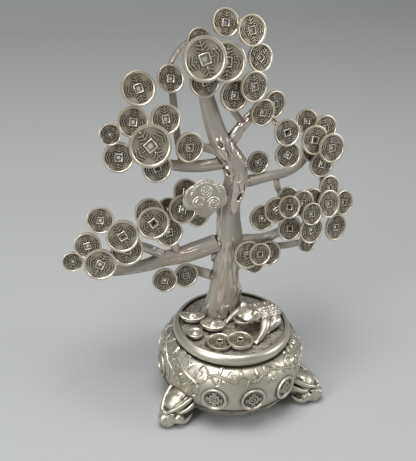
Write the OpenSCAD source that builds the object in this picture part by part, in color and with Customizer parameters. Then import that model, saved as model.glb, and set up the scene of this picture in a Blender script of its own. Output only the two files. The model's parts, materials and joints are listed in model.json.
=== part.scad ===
/* [Bowl] */
// Radius of the bowl at its belly
belly_r = 35.2; // [31:0.1:42]
// Height of the belly's widest ring above the ground
belly_z = 21; // [18:0.5:24]
// Height of the collar's top edge above the ground
rim_z = 38.5; // [34:0.5:46]
// Height of the bowl's bottom edge above the ground
lift_z = 3; // [2:0.5:6]
// Radius of the round mouth that holds the top plate
mouth_r = 25.6; // [22:0.1:28]
// Height of the rounded collar around the mouth
collar_h = 6; // [4:0.5:8]
// How far the collar swells out from the mouth
collar_t = 2.7; // [1.5:0.1:4]
// Wall of the bowl casting
wall = 2.4; // [1.8:0.1:3.2]
// Radius of the flat ring under the bowl
base_r = 24; // [21:0.5:27]

/* [Plates and tie rod] */
// Thickness of the top plate
plate_t = 1.6; // [1.2:0.1:2.4]
// How far the top plate lies below the collar's top edge
plate_sink = 1.2; // [0.6:0.1:2]
// Width of the ledge that carries each plate
ledge_w = 2; // [1.4:0.1:3]
// Thickness of the base plate
cover_t = 1.2; // [0.8:0.1:2]
// Width of the flat ring left around the base plate
ring_w = 3; // [2.4:0.1:4]
// How far the base plate sits up inside the bowl's bottom edge
cover_sink = 4.2; // [3.8:0.1:6]
// Radius of the tie rod
rod_r = 2; // [1.5:0.1:2.5]
// How far the tie rod reaches up into the trunk
rod_bite = 12; // [8:0.5:16]
// Width of the nut across its corners
nut_w = 8; // [7:0.1:10]
// Height of the nut
nut_h = 2.4; // [2:0.1:3]
// Radius of the washer
washer_r = 5; // [4.5:0.1:6]
// Thickness of the washer
washer_t = 0.8; // [0.5:0.1:1.2]

/* [Feet] */
// Distance from the bowl's axis to the middle of a sole
sole_reach = 42; // [38:0.5:48]
// Radius of a sole
sole_r = 4.6; // [3.5:0.1:6]
// Radius of the peg that holds a foot in the bowl's wall
foot_peg_r = 2.5; // [2:0.1:3]
// Height of that peg's axis
foot_peg_z = 12.5; // [10:0.5:15]

/* [Medallions] */
// Radius of a medallion
medal_r = 6; // [5:0.1:7]
// Thickness of a medallion
medal_t = 1.7; // [1.2:0.1:2.2]
// How deep a medallion is let into the belly
medal_seat = 1.2; // [0.9:0.1:1.5]
// Height of the medallions' middles
medal_z = 19; // [16:0.5:22]
// Angle between neighbouring medallions
medal_step = 30; // [26:1:36]

/* [Coins] */
// Thickness of a coin
coin_t = 1.6; // [1.2:0.1:2]
// Air between two coins that lie one over the other
coin_gap = 0.8; // [0.7:0.05:0.9]
// Width of a coin's raised rim
coin_rim = 0.9; // [0.6:0.1:1.2]
// Depth of the sunken field on each face of a coin
coin_field = 0.3; // [0.2:0.05:0.4]
// Radii of the six coin sizes, the smallest first
tiny = 4.6; // [4.2:0.1:4.8]
small = 5.4; // [5:0.1:5.6]
medium = 6.1; // [5.8:0.1:6.3]
large = 6.7; // [6.4:0.1:6.9]
broad = 7.4; // [7:0.1:7.6]
great = 9.4; // [8.8:0.1:9.6]
// Radius of the dome that the coins of a cluster lie on
dome_r = 130; // [100:1:160]

/* [Tree] */
// Height of the trunk's fork below the crown, above the top plate
fork_h = 90; // [75:1:108]
// Distance from the bowl's axis back to the plane of the tree
tree_y = 12; // [8:0.5:14]

/* [Fits] */
// Radial clearance of a peg, rod or plate in its hole
fit = 0.1; // [0.05:0.01:0.2]
// Gap left for solder where two castings meet
seam = 0.1; // [0.05:0.01:0.2]

/* [Hidden] */

// The bowl's axis, from the middle of the whole ornament's outline
axis_at = [7.8, -6.4, 0];

silver = [0.62, 0.59, 0.53];
pale = [0.72, 0.69, 0.63];
dark = [0.45, 0.42, 0.37];
steel = [0.55, 0.56, 0.58];

collar_z = rim_z - collar_h / 2;
neck_z = rim_z - collar_h;
plate_z = rim_z - plate_sink;
ledge_z = plate_z - plate_t;
cover_z = lift_z + cover_sink;
cover_r = base_r - ring_w;
trunk_x = -1;
pocket = 0.3;

// Turning and curve helpers

function unit(v) = v / norm(v);
function turn_x(a) = [[1, 0, 0], [0, cos(a), -sin(a)], [0, sin(a), cos(a)]];
function turn_z(a) = [[cos(a), -sin(a), 0], [sin(a), cos(a), 0], [0, 0, 1]];
function xyz(k) = [k[0], k[1], k[2]];

// A smooth curve through knots: its slope at a knot leans to the shorter side
function gap_of(a, b) = norm(xyz(b - a));
function slope(a, b, c) = let (p = gap_of(a, b), q = gap_of(b, c))
    p == 0 ? (c - b) / q : q == 0 ? (b - a) / p : ((b - a) * q / p + (c - b) * p / q) / (p + q);
function between(b, c, m, n, t) =
    (1 + 2 * t) * (1 - t) * (1 - t) * b + t * t * (3 - 2 * t) * c
    + t * (1 - t) * ((1 - t) * m - t * n);
function curve(k, n) = [
    for (i = [0 : len(k) - 2])
        let (q = gap_of(k[i], k[i + 1]),
             m = q * slope(k[max(i - 1, 0)], k[i], k[i + 1]),
             w = q * slope(k[i], k[i + 1], k[min(i + 2, len(k) - 1)]))
        for (j = [0 : n - 1])
            between(k[i], k[i + 1], m, w, j / n),
    k[len(k) - 1]
];
function square_to(v, t) = unit(v - (v * t) * t);

// A solid that swells and bends along knots of [x, y, z, width radius, depth radius]. Where a bend is so tight
// that the rings would cross, it is drawn slimmer
bend_fill = 0.7;
module limb(knots, depth_way = [0, 1, 0], sides = 12, steps = 3, lobes = 3, flute = 0.05) {
    p = curve(knots, steps);
    last = len(p) - 1;
    ends = [unit(xyz(knots[1] - knots[0])), unit(xyz(knots[len(knots) - 1] - knots[len(knots) - 2]))];
    t = [for (i = [0 : last]) i == 0 ? ends[0] : i == last ? ends[1] : unit(xyz(slope(p[i - 1], p[i], p[i + 1])))];
    first = unit(cross(depth_way, t[0]));
    n = [for (i = 0, v = first; i <= last; i = i + 1, v = i <= last ? square_to(v, t[i]) : v) v];
    turn = 360 / sides;
    bend = [for (i = [0 : last - 1]) norm(t[i + 1] - t[i]) / gap_of(p[i], p[i + 1])];
    slim = [for (i = [0 : last])
        let (b = max(p[i][3], p[i][4]) * max(bend[max(i - 1, 0)], bend[min(i, last - 1)]))
        i < 3 || b < bend_fill ? 1 : bend_fill / b];
    points = [
        for (i = [0 : last])
            for (j = [0 : sides - 1])
                let (a = j * turn, swell = slim[i] * (1 + flute * cos(lobes * a + 9 * i)))
                xyz(p[i]) + swell * (p[i][3] * cos(a) * n[i] + p[i][4] * sin(a) * cross(t[i], n[i]))
    ];
    rings = [
        for (i = [0 : last - 1])
            for (j = [0 : sides - 1])
                let (a = i * sides + j, b = i * sides + (j + 1) % sides)
                each [[a, a + sides, b + sides], [a, b + sides, b]]
    ];
    bottom = [for (j = [0 : sides - 1]) j];
    top = [for (j = [sides - 1 : -1 : 0]) last * sides + j];
    polyhedron(points, concat([bottom, top], rings));
}

// Stands what is drawn up the Z axis at p, pointing along d
module along(p, d) {
    translate(p)
    rotate([0, acos(d[2] / norm(d)), atan2(d[1], d[0])])
    children();
}

module from_axis() {
    translate(axis_at)
    children();
}

// Bowl: its outer line is two quarter ellipses, from the base to the belly and on to the neck

function belly_line(grow, steps = 9) = concat(
    [for (i = [0 : steps]) let (a = -90 + 90 * i / steps)
        [base_r + (belly_r + grow - base_r) * cos(a), belly_z + (belly_z - lift_z + grow) * sin(a)]],
    [for (i = [1 : steps]) let (a = 90 * i / steps)
        [mouth_r + (belly_r + grow - mouth_r) * cos(a), belly_z + (neck_z - belly_z + grow) * sin(a)]]
);
function collar_line(steps = 10) = [
    for (i = [0 : steps]) let (a = -90 + 180 * i / steps)
        [mouth_r + collar_t * cos(a), collar_z + collar_h / 2 * sin(a)]
];

module belly_solid(grow) {
    line = belly_line(grow);
    rotate_extrude($fn = 96)
    polygon(concat([[0, line[0][1]]], line, [[0, line[len(line) - 1][1]]]));
}

module medallion_places() {
    for (side = [0 : 120 : 240])
        for (k = [-1 : 1])
            rotate([0, 0, side + k * medal_step])
            translate([0, -medal_face, medal_z])
            rotate([90, 0, 0])
            children();
}
medal_sag = medal_z - belly_z;
medal_face = base_r + (belly_r - base_r) * sqrt(1 - pow(medal_sag / (belly_z - lift_z), 2)) - medal_seat;

module foot_places() {
    for (a = [-60, 60, 180])
        rotate([0, 0, a])
        children();
}

module foot_peg(grow) {
    translate([0, -(belly_r + 1), foot_peg_z])
    rotate([-90, 0, 0])
    cylinder(r = foot_peg_r + grow, h = wall + 3 + grow, $fn = 32);
}

module bowl_body() {
    from_axis()
    color(silver)
    difference() {
        union() {
            belly_solid(0);
            rotate_extrude($fn = 96)
            polygon(concat([[mouth_r - ledge_w, neck_z - wall]], collar_line(), [[mouth_r - ledge_w, rim_z]]));
        }
        difference() {
            belly_solid(-wall);
            cylinder(r = belly_r, h = cover_z + wall, $fn = 96);
        }
        translate([0, 0, belly_z])
        cylinder(r = mouth_r - ledge_w, h = rim_z, $fn = 96);
        cylinder(r = cover_r - ledge_w, h = belly_z, $fn = 96);
        translate([0, 0, ledge_z])
        cylinder(r = mouth_r, h = rim_z, $fn = 96);
        translate([0, 0, lift_z - 1])
        cylinder(r = cover_r + fit, h = cover_sink + 1, $fn = 96);
        medallion_places()
        cylinder(r = medal_r + fit, h = 2 * medal_t, $fn = 48);
        foot_places()
        foot_peg(fit);
    }
}

// The hole through both plates for the tie rod
module rod_hole() {
    translate([trunk_x, tree_y, 0])
    cylinder(r = rod_r + fit, h = rim_z + 1, $fn = 32);
}

module top_plate() {
    from_axis()
    color(pale)
    difference() {
        translate([0, 0, ledge_z])
        cylinder(r = mouth_r - fit, h = plate_t, $fn = 96);
        rod_hole();
        for (p = plate_pegs)
            translate([spread * p[0], spread * p[1], ledge_z - 1])
            cylinder(r = spread * stub_r + fit, h = plate_t + 2, $fn = 24);
    }
}

module base_plate() {
    from_axis()
    color(steel)
    difference() {
        translate([0, 0, cover_z - cover_t])
        cylinder(r = cover_r, h = cover_t, $fn = 96);
        rod_hole();
    }
}

module on_rod(z) {
    from_axis()
    translate([trunk_x, tree_y, z])
    children();
}
washer_z = cover_z - cover_t - washer_t;
nut_z = washer_z - nut_h;

module tie_rod() {
    on_rod(nut_z)
    color(steel)
    cylinder(r = rod_r, h = plate_z + rod_bite - nut_z, $fn = 32);
}

module rod_washer() {
    on_rod(washer_z)
    color(steel)
    difference() {
        cylinder(r = washer_r, h = washer_t, $fn = 48);
        translate([0, 0, -1])
        cylinder(r = rod_r + fit, h = washer_t + 2, $fn = 32);
    }
}

module rod_nut() {
    on_rod(nut_z)
    color(steel)
    difference() {
        cylinder(r = nut_w / 2, h = nut_h, $fn = 6);
        translate([0, 0, -1])
        cylinder(r = rod_r + fit, h = nut_h + 2, $fn = 32);
    }
}

// Feet: a beast's head with its chin on a round sole, its neck against the belly. It is drawn with its
// sole at the drawn reach and slid out or in from there

drawn_reach = 42;

module foot(a) {
    reach = sole_reach - drawn_reach;
    from_axis()
    rotate([0, 0, a])
    color(silver) {
        difference() {
            translate([0, -reach, 0])
            union() {
                intersection() {
                    limb([[0, -26, 13.5, 6.5, 5.5], [0, -31, 13, 7, 6.2], [0, -36, 10.5, 7.2, 6.8],
                          [0, -41, 7, 6.4, 5.6], [0, -45, 4.6, 4.6, 3.8], [0, -48, 3.8, 2.2, 1.8]],
                         depth_way = [0, 0, 1], sides = 16, flute = 0);
                    translate([-20, -60, 0])
                    cube([40, 60, 40]);
                }
                for (s = [-1, 1]) {
                    limb([[s * 1.6, -46, 6.6, 0.9, 0.8], [s * 4, -42.5, 10.5, 1.5, 1.2],
                          [s * 5.6, -38, 13, 1.4, 1.2], [s * 6.6, -34, 14.6, 0.8, 0.7]],
                         depth_way = [0, 0, 1], sides = 8, steps = 2, flute = 0);
                    translate([s * 4.2, -43.2, 7.4])
                    sphere(r = 1.5, $fn = 24);
                }
                translate([0, -46.6, 5.4])
                sphere(r = 1.9, $fn = 24);
            }
            belly_solid(seam);
        }
        translate([0, -sole_reach, 0])
        cylinder(r = sole_r, h = 2.4, $fn = 48);
        intersection() {
            foot_peg(0);
            belly_solid(seam + 1);
        }
    }
}
module foot_left() {
    foot(-60);
}
module foot_right() {
    foot(60);
}
module foot_back() {
    foot(180);
}

module medallions() {
    from_axis()
    color(pale)
    medallion_places()
    difference() {
        cylinder(r = medal_r, h = medal_t, $fn = 48);
        translate([0, 0, medal_t - 0.4])
        difference() {
            cylinder(r = medal_r - 1, h = 1, $fn = 48);
            translate([-1.4, -1.4, -1])
            cube([2.8, 2.8, 3]);
        }
    }
}

// Coins. A cluster is [corner x, y from the tree's plane, height above the top plate, yaw, lean back];
// its coins are [across, up, layer, radius, turn of the square hole]

drawn_fork_h = 90;
rise = fork_h / drawn_fork_h;
function tree_at(x, y, h) = [x, tree_y + y, plate_z + h * rise];

crown = [-8, -3, 122, 8, 13];
crown_list = [
    [1, 21, 2, medium, 12], [11, 17, 3, large, -8], [17, 6, 1, medium, 45], [-10, 8, 3, great, -14],
    [-10, 15, 1, small, 20], [0, 6, 2, 8.6, 8], [-9, -1, 1, large, -20], [4, -8, 1, large, 10],
    [12, -5, 2, large, -6], [18, -17, 1, medium, 14], [26, -15, 0, medium, -10]
];
upper_left = [-43, -3, 93, 2, 13];
upper_left_list = [
    [0, 24, 2, broad, -12], [15, 27, 1, medium, 9], [11, 11, 1, large, -4], [-3, 11, 1, large, 14],
    [-13, 7, 2, tiny, 30], [3, 1, 2, great, -35], [-10, -3, 1, large, 6], [6, -9, 1, large, -15],
    [21, -2, 1, large, 5]
];
lower_left = [-52, -4, 47, -4, 13];
lower_left_list = [
    [-9, 12, 1, medium, 10], [-15, 1, 1, medium, -14], [-22, -7, 0, tiny, 24], [-10, -7, 2, broad, 28],
    [0, 5, 2, broad, -26], [2, -2, 1, broad, 8], [13, 10, 3, broad, -32], [12, 14, 2, large, 4],
    [22, 14, 0, small, -9], [27, 14, 2, large, 16], [21, 4, 1, large, -5], [30, 21, 1, medium, 12],
    [36, 10, 0, medium, -18]
];
under_left = [-28, 2, 23, 0, 10];
under_left_list = [[-3, -1, 1, medium, 15], [8, -1, 0, medium, -10]];
right_upper = [32, -3, 87, 6, 13];
right_upper_list = [
    [-11, 8, 3, medium, -12], [-10, -2, 2, medium, 38], [2, 11, 0, small, 10], [10, 7, 1, medium, -8],
    [3, 3, 2, large, 15], [10, -1, 3, large, -6], [8, -9, 1, medium, 20], [5, -2, 0, medium, 0]
];
trunk_spot = [11.8, 0, 79.3, 6, 10];
trunk_spot_list = [[0, 0, 0, small, -12]];
right_lower = [33, -3, 47, 10, 13];
right_lower_list = [
    [-20, 7, 2, medium, 10], [-14, 10, 3, medium, -30], [-9, 11, 4, small, 8], [-7, 14, 2, small, 0],
    [-1, 11, 3, medium, 14], [6, 11, 2, small, -10], [2, 6, 4, small, 4], [13, 8, 3, large, -7],
    [24, 6, 2, medium, 12], [18, 14, 1, medium, -5], [21, -6, 1, large, 6], [3, -2, 3, large, -16],
    [-7, 0, 2, medium, 9], [2, -9, 2, tiny, 22]
];
front_low = [11, -6, 31, 6, 13];
front_low_list = [[-5, 5, 2, large, -6], [0, 5, 3, small, 5], [7, 3, 1, medium, 10], [0, -1, 0, small, -20]];

coin_step = coin_t + coin_gap;
wobble = 1.5;

// How far a coin's middle stands in front of its cluster's corner, and which way it is turned
function cluster_turn(g) = turn_z(g[3]) * turn_x(-g[4]);
function coin_turn(g, c) = cluster_turn(g) * turn_z(asin(c[0] / dome_r)) * turn_x(-asin(c[1] / dome_r));
function coin_spot(g, c) =
    tree_at(g[0], g[1], g[2]) + cluster_turn(g) * [0, dome_r, 0]
    - coin_turn(g, c) * [0, dome_r + c[2] * coin_step, 0];
// A point on the back of a coin, moved across and up the coin, and a gap behind it
function behind(g, c, across, up, gap) =
    coin_spot(g, c) + coin_turn(g, c) * [across, coin_t / 2 + gap, up];

module on_coin_spot(g, c) {
    translate(tree_at(g[0], g[1], g[2]))
    rotate([-g[4], 0, g[3]])
    translate([0, dome_r, 0])
    rotate([-asin(c[1] / dome_r), 0, asin(c[0] / dome_r)])
    translate([0, -dome_r - c[2] * coin_step, 0])
    children();
}

module coin(r, turn) {
    side = 0.36 * r;
    rotate([90, turn, 0])
    difference() {
        cylinder(r = r, h = coin_t, center = true, $fn = 64);
        for (face = [-1, 1])
            translate([0, 0, face * coin_t / 2])
            difference() {
                cylinder(r = r - coin_rim, h = 2 * coin_field, center = true, $fn = 64);
                cube([side + 1.4, side + 1.4, coin_t], center = true);
            }
        cube([side, side, 2 * coin_t], center = true);
    }
}

module cluster(g, list) {
    from_axis()
    color(silver)
    for (i = [0 : len(list) - 1])
        on_coin_spot(g, list[i])
        rotate([wobble * sin(137 * i), 0, wobble * cos(97 * i)])
        coin(list[i][3], list[i][4]);
}
module crown_coins() {
    cluster(crown, crown_list);
}
module upper_left_coins() {
    cluster(upper_left, upper_left_list);
}
module lower_left_coins() {
    cluster(lower_left, lower_left_list);
}
module under_left_coins() {
    cluster(under_left, under_left_list);
}
module right_upper_coins() {
    cluster(right_upper, right_upper_list);
}
module right_lower_coins() {
    cluster(right_lower, right_lower_list);
}
module front_low_coins() {
    cluster(front_low, front_low_list);
}
module trunk_coin() {
    cluster(trunk_spot, trunk_spot_list);
}

// Tree. A joint is [point on the parent's middle line, direction, distance of the shoulder, neck radius]

left_joint = [tree_at(-1, 0, 41), [-10, 0, -2.6], 5.5, 4.3];
under_joint = [tree_at(-1, 0, 18), [-9, 6, 2], 6.3, 2.4];
upper_joint = [tree_at(-1, 0, 81), [-10, 0, -0.6], 4.5, 2.7];
inner_joint = [tree_at(-3, 0, 86), [-9, 1, 2], 4.4, 2];
crown_joint = [tree_at(-4, 0, 87.5), [5, 0, 8], 4.6, 2.9];
right_joint = [tree_at(1, 0, 69.5), [10, 0, 1.6], 5.3, 2.7];
low_right_joint = [tree_at(0, 0, 39), [10, 0, 0.4], 5.3, 2.9];
plaque_joint = [tree_at(0, 0, 66), [-9, -4, 0], 4.4, 2];
front_joint = [tree_at(-1, 0, 33), [10, -1.5, -2.2], 5.4, 1.8];
trunk_joints = [
    left_joint, under_joint, upper_joint, inner_joint, crown_joint, right_joint, low_right_joint,
    plaque_joint, front_joint
];

riser_joint = [tree_at(-30, 0, 34.8), [-8, -0.5, 6], 3.6, 2.2];
left_high_joint = [tree_at(-24, 0, 35.5), [-4, -1, 8], 3.7, 2];
upper_riser_joint = [tree_at(-23, 0.3, 81), [-2, 3, 8], 2.3, 1.6];
crown_twig_joint = [tree_at(3, 0, 99), [-5, -1, 7], 2.5, 1.5];
drop_joint = [tree_at(21, 0, 72.2), [1, -1.5, -8], 2.1, 1.4];
low_twig_joint = [tree_at(16, -1, 39.5), [7, -1, -4.5], 2.4, 1.6];

// Share of the shoulder's distance at which a peg begins, and of the neck's radius that it keeps
peg_share = 0.55;
module socket(j) {
    along(j[0], j[1]) {
        translate([0, 0, j[2]])
        cylinder(r = j[3] + pocket, h = j[3] + 4, $fn = 32);
        translate([0, 0, j[2] * peg_share - fit])
        cylinder(r = peg_share * j[3] + fit, h = j[2], $fn = 24);
    }
}
module peg(j) {
    along(j[0], j[1])
    translate([0, 0, j[2] * peg_share])
    cylinder(r = peg_share * j[3], h = j[2] * (1 - peg_share) + seam + 1, $fn = 24);
}
// A point out along a joint's direction from its shoulder, with the neck's radius
function out(j, far) = concat(j[0] + unit(j[1]) * (j[2] + seam + far), [j[3], j[3]]);
// A limb's last two knots, square to the back of the coin that it carries
function carry(g, c, across, up, r) = [
    concat(behind(g, c, across, up, 3), [r, r]),
    concat(behind(g, c, across, up, seam + wobble / 10), [r, r])
];
function knot(x, y, h, wide, deep) = concat(tree_at(x, y, h), [wide, deep]);

module branch(j, knots, tone = silver, flute = 0.05) {
    from_axis()
    color(tone) {
        limb(concat([out(j, 0), out(j, 1), out(j, 2.4)], knots), flute = flute);
        peg(j);
    }
}

module trunk() {
    foot_z = concat([trunk_x, tree_y, plate_z + seam], [10.4, 7]);
    from_axis()
    color(silver)
    difference() {
        limb(concat(
            [foot_z, foot_z + [0, 0, 3.5, -0.6, -0.3], knot(-1, 0, 12, 7.8, 6.4), knot(-1, 0, 21, 6.5, 5.9),
             knot(-1, 0, 32, 6, 5.7), knot(0, 0, 43, 6.1, 5.7), knot(-1, 0, 54, 5.3, 5.1),
             knot(0, 0, 64, 4.7, 4.6), knot(2, 0, 72, 5.4, 5), knot(-1, 0, 82, 5.1, 4.7),
             knot(-6, 0, 90, 4.7, 4.4), knot(-9, 0, 97, 4.2, 4), knot(-12, 0, 106, 3.7, 3.6),
             knot(-14, 0, 113, 3.2, 3.2)],
            carry(crown, crown_list[6], 1, -2, 2.6)),
            sides = 18, lobes = 5, flute = 0.05);
        for (j = trunk_joints)
            socket(j);
        translate([trunk_x, tree_y, plate_z - 1])
        cylinder(r = rod_r + fit, h = rod_bite + 1 + fit, $fn = 32);
    }
}

module left_branch() {
    difference() {
        branch(left_joint, concat(
            [knot(-14, 0, 37.5, 4.4, 4.1), knot(-24, 0, 35.2, 4, 3.8), knot(-31, 0, 34.5, 3.8, 3.5),
             knot(-38, 0, 32.3, 3.1, 3), knot(-46, -0.5, 31.6, 2.8, 2.7), knot(-55, -1, 31.5, 2.5, 2.4)],
            carry(lower_left, lower_left_list[3], 1, -4, 2)));
        from_axis() {
            socket(riser_joint);
            socket(left_high_joint);
        }
    }
}
module left_riser_twig() {
    branch(riser_joint, concat(
        [knot(-38, -0.5, 40.5, 2.2, 2.1), knot(-44, -0.5, 43.5, 2, 2)],
        carry(lower_left, lower_left_list[5], 1, 1, 1.8)));
}
module left_high_twig() {
    branch(left_high_joint, carry(lower_left, lower_left_list[10], 2, -3, 1.7));
}
module under_left_twig() {
    branch(under_joint, concat(
        [knot(-12, 6.5, 20.5, 2.3, 2.2), knot(-18, 7.5, 22.5, 2, 2)],
        carry(under_left, under_left_list[1], 0, 1, 1.8)), dark);
}
module upper_left_branch() {
    difference() {
        branch(upper_joint, concat(
            [knot(-15, 0, 80.3, 2.7, 2.6), knot(-24, 0.3, 81, 2.5, 2.4), knot(-31, 0, 82.5, 2.2, 2.2)],
            carry(upper_left, upper_left_list[7], 1, -1, 1.9)));
        from_axis()
        socket(upper_riser_joint);
    }
}
module upper_left_riser_twig() {
    branch(upper_riser_joint, concat(
        [knot(-25, 4, 92, 1.6, 1.6), knot(-26, 6.5, 104, 1.6, 1.6), knot(-27, 8.5, 114, 1.5, 1.5)],
        carry(upper_left, upper_left_list[1], 1, -3, 1.4)));
}
module inner_left_twig() {
    branch(inner_joint, concat(
        [knot(-13, 1, 88.5, 1.9, 1.9)],
        carry(upper_left, upper_left_list[8], 2, 1, 1.7)), dark);
}
module crown_branch() {
    difference() {
        branch(crown_joint, concat(
            [knot(2.2, 0, 97.2, 2.7, 2.6), knot(4.6, -0.2, 99.6, 2.5, 2.4)],
            carry(crown, crown_list[9], -2, 0, 2.2)));
        from_axis()
        socket(crown_twig_joint);
    }
}
module crown_twig() {
    branch(crown_twig_joint, carry(crown, crown_list[7], 0, -4, 1.4));
}

// A strut that ties the backs of two coins together
module strut(g1, c1, way1, g2, c2, way2, between_knots, r) {
    one = carry(g1, c1, way1[0], way1[1], r);
    two = carry(g2, c2, way2[0], way2[1], r);
    from_axis()
    color(pale)
    limb(concat([one[1], one[0]], between_knots, two), sides = 10, flute = 0);
}
module crown_link_twig() {
    strut(crown, crown_list[4], [-2, 1], upper_left, upper_left_list[1], [1, 3],
          [knot(-25.4, 10.4, 127.5, 1.3, 1.3)], 1.2);
}
module right_branch() {
    difference() {
        branch(right_joint, concat(
            [knot(13, 0, 71.4, 2.5, 2.4), knot(18, 0, 72.1, 2.3, 2.2), knot(26, 0, 73.2, 2.2, 2.1),
             knot(32, 0, 76.5, 2, 2)],
            carry(right_upper, right_upper_list[7], 0, -3, 1.8)));
        from_axis()
        socket(drop_joint);
    }
}
module right_drop_twig() {
    branch(drop_joint, carry(right_lower, right_lower_list[3], -1, 1, 1.3));
}
module low_right_branch() {
    difference() {
        branch(low_right_joint, concat(
            [knot(12, -0.4, 39.4, 2.7, 2.6), knot(17, -1, 39.8, 2.5, 2.4), knot(22.5, -2, 42, 2.2, 2.2)],
            carry(right_lower, right_lower_list[12], 0, -1, 1.9)));
        from_axis()
        socket(low_twig_joint);
    }
}
module low_right_twig() {
    branch(low_twig_joint, concat(
        [knot(22, -2, 35.8, 1.6, 1.6), knot(29, -2.5, 35.2, 1.6, 1.6)],
        carry(right_lower, right_lower_list[13], 0, -1, 1.5)), pale);
}
module right_high_twig() {
    strut(crown, crown_list[10], [0, -4], right_upper, right_upper_list[0], [0, 0],
          [knot(18.6, 2.8, 98.2, 1.2, 1.2)], 1.2);
}
module right_link_twig() {
    strut(right_upper, right_upper_list[6], [2, -3], right_lower, right_lower_list[9], [-1, 2],
          [knot(47.5, 6.8, 68.2, 1.3, 1.3)], 1.3);
}

// Plaque: a cloud-headed charm in three steps, on a short twig

plaque = [-16, -8, 67, 0, 12];
plaque_mid = [1, 1, 0];
plaque_t = 1;
plaque_step = 0.5;

module cloud(grow) {
    for (c = [[0, 2.5, 6.2], [-6, -0.5, 4.4], [6.2, -1, 4.2], [0, -4.4, 4.6]])
        translate([c[0], c[1]])
        circle(r = c[2] + grow, $fn = 48);
}
module cloud_plaque() {
    from_axis()
    color(pale)
    on_coin_spot(plaque, plaque_mid)
    rotate([90, 0, 0])
    translate([0, 0, -coin_t / 2]) {
        linear_extrude(plaque_t)
        cloud(0);
        linear_extrude(plaque_t + plaque_step)
        cloud(-0.9);
        linear_extrude(plaque_t + 2 * plaque_step)
        cloud(-2);
        for (c = [[-2.6, -1.2], [3.4, -3.6]])
            translate(c)
            difference() {
                cylinder(r = 2, h = plaque_t + 3 * plaque_step, $fn = 32);
                translate([0, 0, plaque_t + 2 * plaque_step])
                cylinder(r = 1.2, h = 2 * plaque_step, $fn = 32);
            }
    }
}
module plaque_twig() {
    branch(plaque_joint, carry(plaque, plaque_mid, 4, -1, 1.6));
}
module front_low_twig() {
    branch(front_joint, carry(front_low, front_low_list[3], -2, 1, 1.5));
}

// On the top plate: toad, ingots and coins. Each stands on a stub let into the plate. They are drawn for a
// mouth of the drawn radius and keep their places on a wider or narrower one

drawn_mouth_r = 25.6;
spread = mouth_r / drawn_mouth_r;
stub_r = 1.2;
toad_place = [14, -3, 24];
boat_places = [[-18.5, 6.5, -20], [-10.5, -2.5, -22]];
round_place = [-20.2, -5.5];
plate_pegs = [toad_place, boat_places[0], boat_places[1], round_place];

// Stands what is drawn on the top plate, turned about the upright axis
module on_plate(place, turn) {
    from_axis()
    translate([spread * place[0], spread * place[1], plate_z + seam])
    rotate([0, 0, turn])
    scale(spread)
    children();
}
module stub() {
    translate([0, 0, -plate_t / spread])
    cylinder(r = stub_r, h = plate_t / spread + 1.5, $fn = 24);
}

// The toad looks along its own -X, raised on its forelegs, with a coin in its mouth
module toad() {
    on_plate(toad_place, toad_place[2])
    color(silver) {
        intersection() {
            union() {
                limb([[10, 0, 2.5, 1.6, 1.2], [8.5, 0, 3.4, 4.4, 3.4], [4, 0, 4.8, 6.8, 4.8],
                      [-1, 0, 6.6, 7, 4.8], [-6, 0, 8.4, 6.4, 4], [-10, 0, 9.6, 6.6, 3.2],
                      [-13, 0, 9.4, 5.4, 2.2], [-14.6, 0, 9, 3.4, 0.9]],
                     depth_way = [0, 0, 1], sides = 16, flute = 0);
                for (s = [-1, 1]) {
                    limb([[-3, s * 4.5, 6.5, 2.4, 2.4], [-5, s * 8, 5.8, 2.6, 2.5], [-8, s * 10, 3.6, 2, 2],
                          [-11, s * 10.6, 1.5, 1.9, 1.3], [-13.6, s * 10.8, 0.8, 2.4, 0.8]],
                         depth_way = [0, 0, 1], sides = 10, flute = 0);
                    limb([[5, s * 3.5, 3.6, 2.4, 2.6], [3, s * 6.4, 3.4, 3, 2.8], [-1.6, s * 7.6, 1.6, 2.2, 1.5]],
                         depth_way = [0, 0, 1], sides = 10, flute = 0);
                    translate([-8.6, s * 4.6, 12.2])
                    sphere(r = 1.9, $fn = 24);
                }
                translate([-13.5, 0, 7.6])
                cylinder(r = 4.4, h = 1.2, $fn = 48);
            }
            translate([-30, -30, 0])
            cube(60);
        }
        stub();
    }
}

// A boat-shaped ingot: upturned ends and a dome in the middle
module boat_ingot() {
    limb([[-6, 0, 4, 0.8, 0.5], [-4.6, 0, 2.8, 2.2, 1.1], [-2.2, 0, 1.9, 3, 1.5], [0, 0, 1.6, 3.2, 1.6],
          [2.2, 0, 1.9, 3, 1.5], [4.6, 0, 2.8, 2.2, 1.1], [6, 0, 4, 0.8, 0.5]],
         depth_way = [0, 0, 1], sides = 12, flute = 0);
    translate([0, 0, 2.6])
    sphere(r = 2.3, $fn = 32);
    stub();
}
module boat_ingots() {
    color(pale)
    for (place = boat_places)
        on_plate(place, place[2])
        boat_ingot();
}
module round_ingot() {
    color(pale)
    on_plate(round_place, 0)
    union() {
        rotate_extrude($fn = 48)
        polygon([[0, 0], [2.6, 0], [3.6, 1], [3.8, 2.2], [3.2, 2.6], [2.2, 1.8], [1.6, 2.4], [0, 2.8]]);
        stub();
    }
}

// Loose coins: two lie on the plate, one half over the other
module plate_coins() {
    for (place = [[-10.5, -13.5, 0], [-1.5, -16.5, 1]])
        color(silver)
        on_plate([place[0], place[1]], 0)
        translate([0, 0, coin_t / 2 + place[2] * (coin_t + seam)])
        rotate([-90, 0, 0])
        coin(medium, 20);
}

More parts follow.
